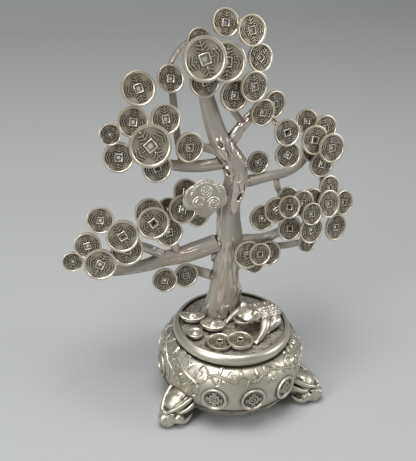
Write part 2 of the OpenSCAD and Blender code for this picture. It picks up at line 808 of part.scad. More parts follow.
bowl_body();
top_plate();
base_plate();
tie_rod();
rod_washer();
rod_nut();
foot_left();
foot_right();
foot_back();
medallions();
trunk();
left_branch();
left_riser_twig();
left_high_twig();
under_left_twig();
upper_left_branch();
upper_left_riser_twig();
inner_left_twig();
crown_branch();
crown_twig();
crown_link_twig();
right_branch();
right_drop_twig();
low_right_branch();
low_right_twig();
right_high_twig();
right_link_twig();
front_low_twig();
plaque_twig();
cloud_plaque();
crown_coins();
upper_left_coins();
lower_left_coins();
under_left_coins();
right_upper_coins();
right_lower_coins();
front_low_coins();
trunk_coin();
toad();
boat_ingots();
round_ingot();
plate_coins();
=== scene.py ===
import json
import math
import random
import bpy
import mathutils
import numpy as np
from mathutils import Matrix, Vector
from mathutils.bvhtree import BVHTree

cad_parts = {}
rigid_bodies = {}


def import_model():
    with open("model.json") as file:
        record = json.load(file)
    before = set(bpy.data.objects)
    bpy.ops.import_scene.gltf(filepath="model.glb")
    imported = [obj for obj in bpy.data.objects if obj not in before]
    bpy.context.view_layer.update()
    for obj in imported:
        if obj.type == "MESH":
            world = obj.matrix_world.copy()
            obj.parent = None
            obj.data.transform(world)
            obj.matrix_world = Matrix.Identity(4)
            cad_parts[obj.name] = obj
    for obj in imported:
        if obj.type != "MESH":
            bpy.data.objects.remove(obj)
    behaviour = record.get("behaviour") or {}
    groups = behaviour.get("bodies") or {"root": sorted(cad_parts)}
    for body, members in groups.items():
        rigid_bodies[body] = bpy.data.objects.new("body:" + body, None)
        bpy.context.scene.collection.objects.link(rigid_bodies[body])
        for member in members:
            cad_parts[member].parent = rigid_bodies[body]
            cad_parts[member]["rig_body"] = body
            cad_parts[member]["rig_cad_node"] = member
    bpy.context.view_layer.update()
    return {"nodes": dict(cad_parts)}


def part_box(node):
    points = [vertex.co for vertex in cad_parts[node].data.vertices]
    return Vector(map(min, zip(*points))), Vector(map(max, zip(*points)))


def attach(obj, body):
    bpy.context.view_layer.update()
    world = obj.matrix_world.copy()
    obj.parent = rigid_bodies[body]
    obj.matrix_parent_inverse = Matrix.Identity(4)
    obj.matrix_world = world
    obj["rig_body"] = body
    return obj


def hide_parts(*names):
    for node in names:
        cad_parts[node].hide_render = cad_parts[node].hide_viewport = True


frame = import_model()
nodes = frame["nodes"]
random.seed(8)
mm = 0.001

# Where the bowl stands: its middle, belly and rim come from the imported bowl
bowlLow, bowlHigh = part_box("bowl_body")
axisX = (bowlLow.x + bowlHigh.x) / 2
axisY = bowlHigh.y - (bowlHigh.x - bowlLow.x) / 2
rimZ = bowlHigh.z
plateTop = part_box("top_plate")[1].z
axis = Vector((axisX, axisY, 0))
print("frame loaded,", len(nodes), "nodes, bowl axis", round(axisX, 4), round(axisY, 4))


# Selecting, joining and finishing pieces

def pick(*pieces):
    if bpy.context.object and bpy.context.object.mode != "OBJECT":
        bpy.ops.object.mode_set(mode="OBJECT")
    bpy.ops.object.select_all(action="DESELECT")
    for piece in pieces:
        piece.select_set(True)
    bpy.context.view_layer.objects.active = pieces[0]
    return pieces[0]


def added():
    piece = bpy.context.object
    bpy.ops.object.transform_apply(location=True, rotation=True, scale=True)
    return piece


def joined(name, pieces):
    pick(*pieces)
    if len(pieces) > 1:
        bpy.ops.object.join()
    piece = bpy.context.object
    piece.name = name
    return piece


def modify(piece, kind, **settings):
    pick(piece)
    modifier = piece.modifiers.new("step", kind)
    for key, value in settings.items():
        setattr(modifier, key, value)
    bpy.ops.object.modifier_apply(modifier=modifier.name)


def editSelected(piece, test=None, mode="FACE"):
    pick(piece)
    bpy.ops.object.mode_set(mode="EDIT")
    bpy.ops.mesh.select_mode(type=mode)
    bpy.ops.mesh.select_all(action="DESELECT")
    bpy.ops.object.mode_set(mode="OBJECT")
    items = piece.data.polygons if mode == "FACE" else piece.data.vertices
    for item in items:
        item.select = test is None or test(item)
    bpy.ops.object.mode_set(mode="EDIT")


def leave():
    bpy.ops.object.mode_set(mode="OBJECT")


def cleaned(piece, reach=0.00001):
    editSelected(piece)
    bpy.ops.mesh.remove_doubles(threshold=reach)
    bpy.ops.mesh.normals_make_consistent(inside=False)
    leave()
    return piece


def softened(piece, angle=40):
    pick(piece)
    bpy.ops.object.shade_smooth_by_angle(angle=math.radians(angle))


def copied(piece, name, matrix=None):
    twin = piece.copy()
    twin.data = piece.data.copy()
    twin.name = name
    bpy.context.scene.collection.objects.link(twin)
    if matrix is not None:
        twin.data.transform(matrix)
    return twin


def nodeCopy(node, name):
    twin = copied(nodes[node], name)
    twin.parent = None
    twin.hide_render = twin.hide_viewport = False
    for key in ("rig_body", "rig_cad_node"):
        if key in twin:
            del twin[key]
    return cleaned(twin)


def points(piece):
    values = np.empty(len(piece.data.vertices) * 3)
    piece.data.vertices.foreach_get("co", values)
    return values.reshape(-1, 3)


def movePoints(piece, places):
    piece.data.vertices.foreach_set("co", places.ravel())
    piece.data.update()


def normalsOf(piece):
    values = np.empty(len(piece.data.vertices) * 3, np.float32)
    piece.data.vertex_normals.foreach_get("vector", values)
    return values.reshape(-1, 3).astype(float)


def edgesOf(piece):
    values = np.empty(len(piece.data.edges) * 2, np.int32)
    piece.data.edges.foreach_get("vertices", values)
    return values.reshape(-1, 2)


def smoothed(places, edges, rounds):
    count = np.bincount(edges.ravel(), minlength=len(places))[:, None]
    for _ in range(rounds):
        total = np.zeros_like(places)
        np.add.at(total, edges[:, 0], places[edges[:, 1]])
        np.add.at(total, edges[:, 1], places[edges[:, 0]])
        places = 0.5 * places + 0.5 * total / np.maximum(count, 1)
    return places


def markHollows(piece, rounds=10, depth=0.25):
    # the value written is 0.5 where flat, towards 1 in grooves and towards 0 on ridges
    places = points(piece)
    sunk = ((smoothed(places, edgesOf(piece), rounds) - places) * normalsOf(piece)).sum(1)
    setHollowAndShade(piece, 0.5 + 0.5 * np.clip(sunk / (depth * mm), -1, 1))


def setHollowAndShade(piece, values):
    attribute = piece.data.attributes.get("hollow") or piece.data.attributes.new("hollow", "FLOAT", "POINT")
    attribute.data.foreach_set("value", np.asarray(values, np.float32))


def showAs(piece, slotName, *replaced, material=None):
    piece.data.materials.clear()
    piece.data.materials.append(material)
    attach(piece, "root")
    if replaced:
        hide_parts(*replaced)
    return piece


# Shader maths: a Wire is an output socket, and sums and products of wires add Math nodes

class Wire:
    def __init__(self, tree, socket):
        self.tree, self.socket = tree, socket

    def math(self, operation, other=None, swapped=False):
        node = self.tree.nodes.new("ShaderNodeMath")
        node.operation = operation
        for slotIn, value in zip(node.inputs, (other, self) if swapped else (self, other)):
            if isinstance(value, Wire):
                self.tree.links.new(value.socket, slotIn)
            elif value is not None:
                slotIn.default_value = value
        return Wire(self.tree, node.outputs[0])

    def __add__(self, other):
        return self.math("ADD", other)

    def __sub__(self, other):
        return self.math("SUBTRACT", other)

    def __rsub__(self, other):
        return self.math("SUBTRACT", other, True)

    def __mul__(self, other):
        return self.math("MULTIPLY", other)

    __radd__, __rmul__ = __add__, __mul__


class Finish:
    def __init__(self, name):
        self.material = bpy.data.materials.new(name)
        self.material.use_nodes = True
        self.tree = self.material.node_tree
        self.shader = self.tree.nodes["Principled BSDF"]

    def add(self, kind, settings, sockets, output):
        node = self.tree.nodes.new("ShaderNode" + kind)
        for key, value in settings.items():
            if key == "stops":
                for at, (spot, tone) in enumerate(value):
                    stop = node.color_ramp.elements[at] if at < 2 else node.color_ramp.elements.new(spot)
                    stop.position, stop.color = spot, (*tone, 1) if len(tone) == 3 else tone
            else:
                setattr(node, key, value)
        for key, value in sockets.items():
            self.put(node, key, value)
        return Wire(self.tree, node.outputs[output])

    def put(self, node, key, value):
        if isinstance(value, Wire):
            self.tree.links.new(value.socket, node.inputs[key])
        else:
            node.inputs[key].default_value = value

    def noise(self, place, scale, detail=3, stretch=None):
        if stretch:
            place = self.add("Mapping", {}, {"Vector": place, "Scale": stretch}, "Vector")
        return self.add("TexNoise", {}, {"Vector": place, "Scale": scale, "Detail": detail}, "Fac")

    def ramp(self, wire, *stops):
        return self.add("ValToRGB", {"stops": [(spot, (v, v, v)) for spot, v in stops]}, {"Fac": wire}, "Color")

    def mix(self, share, first, second, way="MIX"):
        wire = self.add("Mix", {"data_type": "RGBA", "blend_type": way}, {"Factor": share}, "Result")
        node = wire.socket.node
        self.put(node, 6, first)
        self.put(node, 7, second)
        return Wire(self.tree, node.outputs[2])


def agedMetalAndShade(name, bright, dark, tintAndReflection, rough=0.3, patinaShadeReach=1.6, patinaShadeGain=1.3, grain=0.12, patch=0.35, metal=0.92):
    # dark patina in hollows; darker in close corners and between parts by ambient occlusion, partly patina and partly
    # painted shade; worn bright on ridges; tinted in patches, on the tree a reddish painted reflection
    finish = Finish(name)
    place = finish.add("TexCoord", {}, {}, "Object")
    hollow = finish.add("Attribute", {"attribute_name": "hollow"}, {}, "Fac")
    # painted shade: ambient occlusion darkens the colour in close corners and between parts, along with the patina
    # there
    open_ = finish.add("AmbientOcclusion", {"samples": 6}, {"Distance": patinaShadeReach * mm}, "AO")
    broad = finish.noise(place, 160, 4)
    patches = finish.noise(place, 60, 2)
    fine = finish.noise(place, 1500, 3)
    # the darkening mask: painted shade from ambient occlusion, patina in hollows, and random tone
    patinaAndShade = (1 - open_) * patinaShadeGain + (hollow - 0.5) * 1.5 + (broad - 0.5) * patch + (fine - 0.5) * 0.16
    patinaAndShade = finish.ramp(patinaAndShade, (0.08, 0), (0.75, 1))
    base = finish.mix(finish.ramp(patches, (0.45, 0), (0.7, 1)), (*bright, 1), (*tintAndReflection, 1))
    base = finish.mix(patinaAndShade, base, (*dark, 1))
    finish.put(finish.shader, "Base Color", base)
    finish.put(finish.shader, "Roughness", patinaAndShade * 0.3 + broad * 0.16 + rough)
    finish.put(finish.shader, "Metallic", metal - patinaAndShade * 0.5)
    bump = finish.add("Bump", {}, {"Strength": grain, "Distance": 0.1 * mm, "Height": fine + broad}, "Normal")
    finish.put(finish.shader, "Normal", bump)
    return finish.material


coinMetal = agedMetalAndShade("agedCoinMetal", (0.72, 0.66, 0.55), (0.04, 0.03, 0.021), (0.6, 0.53, 0.41), patinaShadeGain=1)
# the tree's reddish tint, laid in broad patches, is a painted reflection
treeMetal = agedMetalAndShade("agedTreeMetal", (0.66, 0.6, 0.53), (0.03, 0.023, 0.018), (0.56, 0.43, 0.38), 0.24, 4, 1.7,
                      patch=0.85)
bowlMetal = agedMetalAndShade("agedBowlMetal", (0.6, 0.57, 0.49), (0.05, 0.042, 0.03), (0.53, 0.5, 0.4), patinaShadeReach=2.2)
castMetal = agedMetalAndShade("agedCastMetal", (0.66, 0.62, 0.54), (0.045, 0.035, 0.026), (0.5, 0.45, 0.38))
zincSteel = agedMetalAndShade("zincSteel", (0.5, 0.52, 0.55), (0.12, 0.12, 0.12), (0.45, 0.46, 0.48), grain=0.05)
print("metals mixed")


# Coin: raised rim, square hole in a raised square, sprigs and waves between

coinLook = {
    "radius": 6.7, "thick": 1.6, "rim": 0.78, "slope": 0.2, "field": 0.5, "hole": 1.5, "square": 3.5, "inside": 2.6,
    "squareTop": 0.05, "stroke": 0.5, "strokeTop": 0.08, "motifAt": 3.72,
    "sprig": [((0, -1.55), (0, 1.75)), ((-0.1, -1.1), (1.7, -0.1)), ((0.1, -1.1), (-1.7, -0.1)), ((-0.1, 0), (1.6, 1)),
              ((0.1, 0), (-1.6, 1)), ((-2.1, -1.3), (-1, -1.5)), ((2.1, -1.3), (1, -1.5))],
    "waves": [((-1.9, 0.6), (0, 1.6)), ((0, 1.6), (1.9, 0.6)), ((-2, -0.4), (0, 0.6)), ((0, 0.6), (2, -0.4)),
              ((-2, -1.3), (-0.5, -1.3)), ((0.5, -1.3), (2, -1.3)), ((0, -1.7), (0, -0.5))],
}


def makeStroke():
    bpy.ops.mesh.primitive_cube_add(size=1)
    bar = added()
    editSelected(bar, lambda face: face.normal.z > 0.9)
    bpy.ops.transform.resize(value=(0.8, 0.45, 1))
    leave()
    return bar


def strokeCopies(bar, look, strokes, frameOf, low, high):
    bars = []
    for start, end in strokes:
        a, b = Vector((*start, 0)), Vector((*end, 0))
        turn = Matrix.Rotation(math.atan2(b.y - a.y, b.x - a.x), 4, "Z")
        size = Matrix.Diagonal(((b - a).length + look["stroke"] * 0.4, look["stroke"], high - low, 1))
        middle = Matrix.Translation(((a.x + b.x) / 2, (a.y + b.y) / 2, (low + high) / 2))
        bars.append(copied(bar, "bar", Matrix.Scale(mm, 4) @ frameOf @ middle @ turn @ size))
    return bars


def makeCoin():
    look = coinLook
    top = look["thick"] / 2
    bpy.ops.mesh.primitive_cylinder_add(vertices=48, radius=look["radius"] * mm, depth=look["thick"] * mm)
    coin = added()
    editSelected(coin, lambda face: abs(face.normal.z) > 0.9)
    bpy.ops.mesh.inset(thickness=look["rim"] * mm, use_individual=True)
    bpy.ops.mesh.inset(thickness=look["slope"] * mm, depth=-look["field"] * mm, use_individual=True)
    leave()
    modify(coin, "BEVEL", width=0.3 * mm, segments=2, limit_method="ANGLE", angle_limit=math.radians(50))
    bpy.ops.mesh.primitive_cube_add(size=1, scale=(look["hole"] * mm, look["hole"] * mm, 4 * mm))
    cutter = added()
    modify(coin, "BOOLEAN", operation="DIFFERENCE", object=cutter, solver="EXACT")
    bpy.data.objects.remove(cutter)
    bpy.ops.mesh.primitive_cylinder_add(vertices=4, radius=look["square"] * mm / math.sqrt(2),
                                        depth=(look["thick"] - 2 * look["squareTop"]) * mm,
                                        rotation=(0, 0, math.radians(45)))
    square = added()
    editSelected(square, lambda face: abs(face.normal.z) > 0.9)
    bpy.ops.mesh.inset(thickness=(look["square"] - look["inside"]) / 2 * mm, use_individual=True)
    bpy.ops.mesh.bridge_edge_loops()
    leave()
    modify(square, "BEVEL", width=0.12 * mm, segments=1, limit_method="ANGLE", angle_limit=math.radians(50))
    bar = makeStroke()
    parts = [coin, square]
    for face in (0, math.pi):
        for turn in range(4):
            frameOf = (Matrix.Rotation(face, 4, "X") @ Matrix.Rotation(turn * math.pi / 2, 4, "Z")
                       @ Matrix.Translation((0, look["motifAt"], 0)))
            motif = look["sprig"] if turn % 2 == 0 else look["waves"]
            parts += strokeCopies(bar, look, motif, frameOf, top - look["field"] - 0.1, top - look["strokeTop"])
    bpy.data.objects.remove(bar)
    coin = joined("masterCoin", parts)
    places = points(coin) / mm
    away = np.hypot(places[:, 0], places[:, 1])
    sunk = np.abs(places[:, 2]) < top - look["field"] + 0.08
    inner = away < look["radius"] - 0.6
    setHollowAndShade(coin, np.where(sunk & inner, 0.8, np.where(inner, 0.28, 0.3)))
    return coin


def discFrames(node):
    pick(nodeCopy(node, "split"))
    bpy.ops.mesh.separate(type="LOOSE")
    frames = []
    for part in list(bpy.context.selected_objects):
        places = points(part)
        spread, ways = np.linalg.eigh(np.cov((places - places.mean(0)).T))
        along = (places - places.mean(0)) @ ways
        middle = places.mean(0) + ways @ ((along.max(0) + along.min(0)) / 2)
        normal = Vector(ways[:, 0])
        if abs(normal.z) > 0.8 and normal.z < 0 or abs(normal.z) <= 0.8 and normal.y > 0:
            normal = -normal
        right = Vector((1, 0, 0))
        right = (right - right.dot(normal) * normal).normalized()
        up = normal.cross(right)
        flat = (places - middle) @ np.array([right, up]).T
        far = np.hypot(flat[:, 0], flat[:, 1])
        corner = flat[far < far.max() * 0.36]
        turn = math.atan2(corner[0][1], corner[0][0]) - math.pi / 4
        turn = (turn + math.pi / 4) % (math.pi / 2) - math.pi / 4
        side = math.cos(turn) * right + math.sin(turn) * up
        basis = Matrix((side, normal.cross(side), normal)).transposed().to_4x4()
        frames.append((Matrix.Translation(middle) @ basis, far.max()))
        bpy.data.objects.remove(part)
    return frames


masterCoin = makeCoin()
for node in [n for n in nodes if n.endswith("_coins") or n == "trunk_coin"]:
    copies = []
    for place, radius in discFrames(node):
        grow = radius / (coinLook["radius"] * mm)
        copies.append(copied(masterCoin, "coin", place @ Matrix.Diagonal((grow, grow, 1, 1))))
    first, *words = node.split("_")
    cluster = joined(first + "".join(w.capitalize() for w in words), copies)
    softened(cluster, 35)
    showAs(cluster, "coin_metal", node, material=coinMetal)
print("coins struck")


# Tree: the limbs run together as one casting, get their bark, and are parted again limb by limb

barkLook = {
    "cell": 0.38, "relax": 8, "grain": 0.7, "swell": 0.4,
    "spine": [(37, -1), (80, -0.5), (91, -1), (101, 0), (109, 2), (119, -1), (127, -6), (134, -9), (143, -12), (157, -15)],
    "plates": [(0.5, 94, 5.5, 22), (-4.5, 108, 5, 18), (5.5, 116, 4.5, 15), (-2.2, 121, 4.5, 16), (11, 84, 6, 20),
               (-12, 90, 6, 22), (-16, 112, 5, 18), (14, 104, 5, 20), (-9, 66, 5, 16), (8, 60, 6, 18)],
    "eyes": [(1.4, 103, 1.3), (-3.6, 115.5, 1.1), (-1.2, 129, 1.2), (11, 93, 1.4), (-12, 99, 1.3), (-9, 73, 1)],
    "grooves": [[(-1, 68), (-1.4, 60), (0, 52), (-0.6, 45)], [(-6, 58), (-7, 50), (-8, 43)], [(4.5, 74), (5.4, 64), (4.6, 54)],
                [(-3.4, 90), (-2.8, 82), (-4.4, 74)], [(3.5, 92), (2.6, 84), (3.2, 78)], [(10, 70), (9, 58), (11, 47)],
                [(-11, 84), (-12, 70), (-10.5, 58)], [(1, 118), (0.2, 111)], [(-5.5, 134), (-5, 126)]],
    "roots": 5, "rootSwell": 1.7, "knots": [(-8.5, 58.5, 2.6, 1.6), (6.5, 50, 2.4, 1.2), (-3, 76, 2.2, 0.7)],
}
limbNodes = [n for n in nodes if n == "trunk" or n.endswith("_branch") or n.endswith("_twig")]
strutNodes = [n for n in limbNodes if "link" in n or n == "right_high_twig"]
limbNodes = [n for n in limbNodes if n not in strutNodes]


def treeOf(piece):
    return BVHTree.FromPolygons([v.co for v in piece.data.vertices], [p.vertices for p in piece.data.polygons])


def near(edge, width):
    return np.clip(edge / width, 0, 1) ** 2 * (3 - 2 * np.clip(edge / width, 0, 1))


def barkNoise(place, along, stretch, size):
    # long wavering grooves that run with the limb
    wide = (place - along * place.dot(along)) / (size * mm)
    far = along * (place.dot(along) / (size * stretch * mm))
    first = mathutils.noise.noise(wide + far)
    broad = mathutils.noise.noise((wide + far) * 0.4 + Vector((9, 4, 7)))
    return first, broad


def trunkRelief(places, look):
    middle = np.interp(places[:, 2] / mm, *zip(*look["spine"]))
    across = places[:, 0] / mm - axisX / mm - middle
    back = places[:, 1] / mm - axisY / mm - 12
    angle = np.arctan2(across, -back)
    arc, height = angle * 5.4, places[:, 2] / mm
    raised = np.zeros(len(places))
    for side, tip, width, tall in look["plates"]:
        share = np.clip((height - tip) / tall, 0, 1)
        edge = width * np.sqrt(share) * (1 - 0.2 * share) - np.abs(arc - side)
        raised += np.where(height > tip, near(edge, 0.6) * (1 - share) ** 0.8 * 1.5, 0)
    for line in look["grooves"]:
        for (ax, az), (bx, bz) in zip(line, line[1:]):
            share = np.clip(((arc - ax) * (bx - ax) + (height - az) * (bz - az)) / ((bx - ax) ** 2 + (bz - az) ** 2), 0, 1)
            far = np.hypot(arc - ax - share * (bx - ax), height - az - share * (bz - az))
            raised = np.minimum(raised, np.where(far < 1.6, raised - 1.7 * np.exp(-(far / 0.65) ** 2), raised))
    for side, tall, wide in look["eyes"]:
        far = np.hypot(arc - side, (height - tall) * 0.7)
        raised += 0.7 * np.exp(-((far - wide * 1.3) / 0.5) ** 2) - 2.4 * near(wide - far, wide * 0.7)
    for side, tall, wide, lift in look["knots"]:
        raised += lift * np.exp(-(np.hypot(arc - side, height - tall) / wide) ** 2)
    low = np.exp(-np.clip(height - 37.5, 0, 60) / 4.5)
    raised += look["rootSwell"] * low * (0.4 + np.cos(look["roots"] * angle + 1.2) + 0.3 * np.cos(9 * angle))
    return raised


def carvedLimbs(names, look, cuts):
    copies = {name: nodeCopy(name, name + "Copy") for name in names}
    shells = {name: treeOf(piece) for name, piece in copies.items()}
    ways, fills = {}, []
    for name, piece in copies.items():
        places = points(piece)
        ways[name] = Vector(np.linalg.eigh(np.cov((places - places.mean(0)).T))[1][:, 2])
    ways["trunk"] = Vector((0, 0, 1))
    for name, piece in copies.items() if cuts else ():
        for parent in names:
            if parent == name or parent not in ("trunk", "left_branch", "upper_left_branch", "crown_branch",
                                                "right_branch", "low_right_branch"):
                continue
            joint = [v.co for v in piece.data.vertices if shells[parent].find_nearest(v.co, 0.45 * mm)[0]]
            if name == "trunk" or len(joint) < 8:
                continue
            middle = sum(joint, Vector()) / len(joint)
            reach = sorted((p - middle).length for p in joint)[len(joint) * 3 // 4]
            bpy.ops.mesh.primitive_uv_sphere_add(segments=24, ring_count=16, radius=min(reach * 1.25, 4.6 * mm),
                                                 location=middle)
            fills.append(added())
    whole = joined("limbs", [copied(p, "part") for p in copies.values()] + fills)
    modify(whole, "REMESH", mode="VOXEL", voxel_size=look["cell"] * mm)
    places = smoothed(points(whole), edgesOf(whole), look["relax"])
    movePoints(whole, places)
    ups = normalsOf(whole)
    raised = trunkRelief(places, look) if cuts else np.zeros(len(places))
    owner, grain = [], np.zeros(len(places))
    for at, place in enumerate(places):
        spot = Vector(place)
        found = min(names, key=lambda n: (shells[n].find_nearest(spot, 4 * mm)[3] or 1))
        owner.append(names.index(found))
        first, broad = barkNoise(spot, ways[found], 7 if found == "trunk" else 5, 2.2 if found == "trunk" else 1.5)
        groove = max(0, 1 - abs(first) * 7) * (0.35 + 0.65 * (broad > -0.05))
        grain[at] = look["swell"] * broad - look["grain"] * groove
    owner = np.array(owner)
    raised = np.where(owner == names.index("trunk") if cuts else False, raised, 0) + grain
    raised = smoothed(raised[:, None], edgesOf(whole), 1)[:, 0]
    movePoints(whole, places + ups * raised[:, None] * mm)
    markHollows(whole, 10, 0.3)
    if cuts:
        # painted shadow: the trunk's colour is darkened in a patch low on its left, where the left branch shades it
        flags = np.array([item.value for item in whole.data.attributes["hollow"].data])
        side, height = places[:, 0] / mm - axisX / mm, places[:, 2] / mm
        shade = np.exp(-((side + 9) / 3.4) ** 2 - ((height - 62) / 9) ** 2)
        setHollowAndShade(whole, flags + np.where(owner == names.index("trunk"), 0.55 * shade, 0))
    for piece in copies.values():
        whole.data.materials.append(None)
    faces = np.array([owner[list(face.vertices)].min() for face in whole.data.polygons], np.int32)
    whole.data.polygons.foreach_set("material_index", faces)
    whole.data.update()
    editSelected(whole)
    bpy.ops.mesh.separate(type="MATERIAL")
    leave()
    parts = list(bpy.context.selected_objects)
    for part in parts:
        name = names[part.data.polygons[0].material_index]
        editSelected(part, lambda v: False, "VERT")
        bpy.ops.mesh.select_non_manifold()
        if cuts:
            bpy.ops.mesh.fill()
        leave()
        first, *words = name.split("_")
        part.name = first + "".join(w.capitalize() for w in words)
        part.data.polygons.foreach_set("material_index", np.zeros(len(part.data.polygons), np.int32))
        softened(part, 60)
        showAs(part, "tree_metal", name, material=treeMetal)
    for piece in copies.values():
        bpy.data.objects.remove(piece)
    return parts


carvedLimbs(limbNodes, barkLook, True)
for node in strutNodes:
    carvedLimbs([node], dict(barkLook, cell=0.3, relax=2, grain=0.15, swell=0.1), False)
print("tree carved")


# Turning a line round the bowl's axis, and drawing raised lines as tapering tubes

def turned(name, line, steps=192, middle=None):
    middle = middle or axis
    bpy.ops.mesh.primitive_plane_add(size=0.01)
    piece = added()
    editSelected(piece, None, "VERT")
    bpy.ops.mesh.merge(type="CENTER")
    places = [middle + Vector((r * mm, 0, z * mm)) for r, z in line]
    bpy.ops.transform.translate(value=places[0])
    for a, b in zip(places, places[1:]):
        bpy.ops.mesh.extrude_region_move(TRANSFORM_OT_translate={"value": b - a})
    bpy.ops.mesh.select_all(action="SELECT")
    bpy.ops.mesh.spin(steps=steps, angle=2 * math.pi, center=middle, axis=(0, 0, 1))
    leave()
    piece.name = name
    return cleaned(piece)


def tubes(name, lines, sides=1):
    # each line is a list of (place, radius) in metres
    curve = bpy.data.curves.new(name, "CURVE")
    curve.dimensions, curve.bevel_depth, curve.bevel_resolution, curve.use_fill_caps = "3D", 1, sides, True
    for line in lines:
        spline = curve.splines.new("POLY")
        spline.points.add(len(line) - 1)
        for point, (place, radius) in zip(spline.points, line):
            point.co, point.radius = (*place, 1), radius
    piece = bpy.data.objects.new(name, curve)
    bpy.context.scene.collection.objects.link(piece)
    pick(piece)
    bpy.ops.object.convert(target="MESH")
    return cleaned(bpy.context.object, 0.000002)


def flowing(knots, steps=5):
    # a smooth run of points through the knots
    knots = np.array(knots, float)
    padded = np.vstack([2 * knots[0] - knots[1], knots, 2 * knots[-1] - knots[-2]])
    run = []
    for a, b, c, d in zip(padded, padded[1:], padded[2:], padded[3:]):
        for t in np.arange(steps) / steps:
            run.append(0.5 * (2 * b + (c - a) * t + (2 * a - 5 * b + 4 * c - d) * t ** 2
                              + (3 * b - a - 3 * c + d) * t ** 3))
    return run + [knots[-1]]


# Bowl: rounded collar, smooth belly, raised vines with leaves, and a low band of slanted strokes

bowlLook = {
    "lower": (24, 11.2, 18), "upper": (25.6, 9.6, 11.5), "bellyZ": 21, "collar": (25.9, 35.5, 2.6, 3),
    "vines": [
        (0.62, [(-43, 21), (-45, 25), (-55, 27), (-63, 29), (-71, 30), (-82, 31), (-84, 28), (-80, 26.6)]),
        (0.58, [(-59, 29), (-51, 26.5), (-42, 26), (-36, 29), (-30, 30), (-21, 29), (-14, 28), (-12, 30), (-17, 31.5)]),
        (0.5, [(-36, 29), (-39, 31), (-44, 31.6), (-46, 30)]), (0.45, [(-34.5, 29.6), (-31.5, 27.5), (-29, 26), (-26, 26.6)]),
        (0.5, [(-13, 29), (-9, 30), (-3.5, 29.2), (0, 27.6), (3, 28.4)]),
        (0.62, [(3, 27.6), (10, 29.6), (18, 30.4), (26, 29.6), (34, 28.2), (43, 26), (54, 24.2), (58, 26)]),
        (0.5, [(23, 29.8), (18, 31.4), (13, 31.6), (12, 30.2)]), (0.48, [(33, 28.5), (36, 30.4), (41, 31), (43, 29.6)]),
        (0.42, [(23, 29.6), (22, 27.6), (18, 26.8), (16, 27.8)]), (0.5, [(43, 26.4), (43, 29), (49, 30), (54, 29), (52, 27.4)]),
        (0.5, [(-46, 24), (-49, 21), (-48, 18), (-45, 17.6)]), (0.5, [(45, 25), (47, 21.5), (46, 18.6), (43.6, 18.4)]),
        (0.45, [(-62, 28.6), (-66, 26), (-71, 24.6), (-74, 26.4)]), (0.45, [(-52, 26.6), (-56, 23.6), (-61, 22.4)]),
    ],
    "leaves": [(-62, 31.2, 20), (-57, 31.4, 150), (-69, 31.6, 20), (-62, 25.5, 200), (-66.5, 27.2, 330), (-54, 29.6, 60),
               (-47, 28.4, 110), (-40, 27.8, 240), (-26, 31.2, 60), (-24, 27.4, 300), (-8, 31.4, 120), (-5, 27.2, 240),
               (6, 30.4, 120), (14, 28.2, 250), (28, 31, 60), (30, 27.2, 300), (38, 26, 240), (47, 27.6, 60), (57, 22.4, 300),
               (-50, 24.8, 220), (-57, 21.6, 200), (-78, 28.8, 230), (-76, 31.8, 100), (51, 22.4, 250), (-43.6, 23, 330)],
    "leafLength": 3.6, "leafWidth": 0.85, "band": (6.8, 11), "groups": 24, "strokes": 6, "line": 0.34,
}


def bellyRadius(z):
    side = bowlLook["lower"] if z < bowlLook["bellyZ"] else bowlLook["upper"]
    return side[0] + side[1] * math.sqrt(max(0, 1 - ((z - bowlLook["bellyZ"]) / side[2]) ** 2))


def onBelly(angle, z, lift=0):
    # a place on the belly, angle in degrees from the front, counted towards +X
    turn = math.radians(angle)
    radius = bellyRadius(z) + lift
    return Vector((axis.x + math.sin(turn) * radius * mm, axis.y - math.cos(turn) * radius * mm, z * mm))


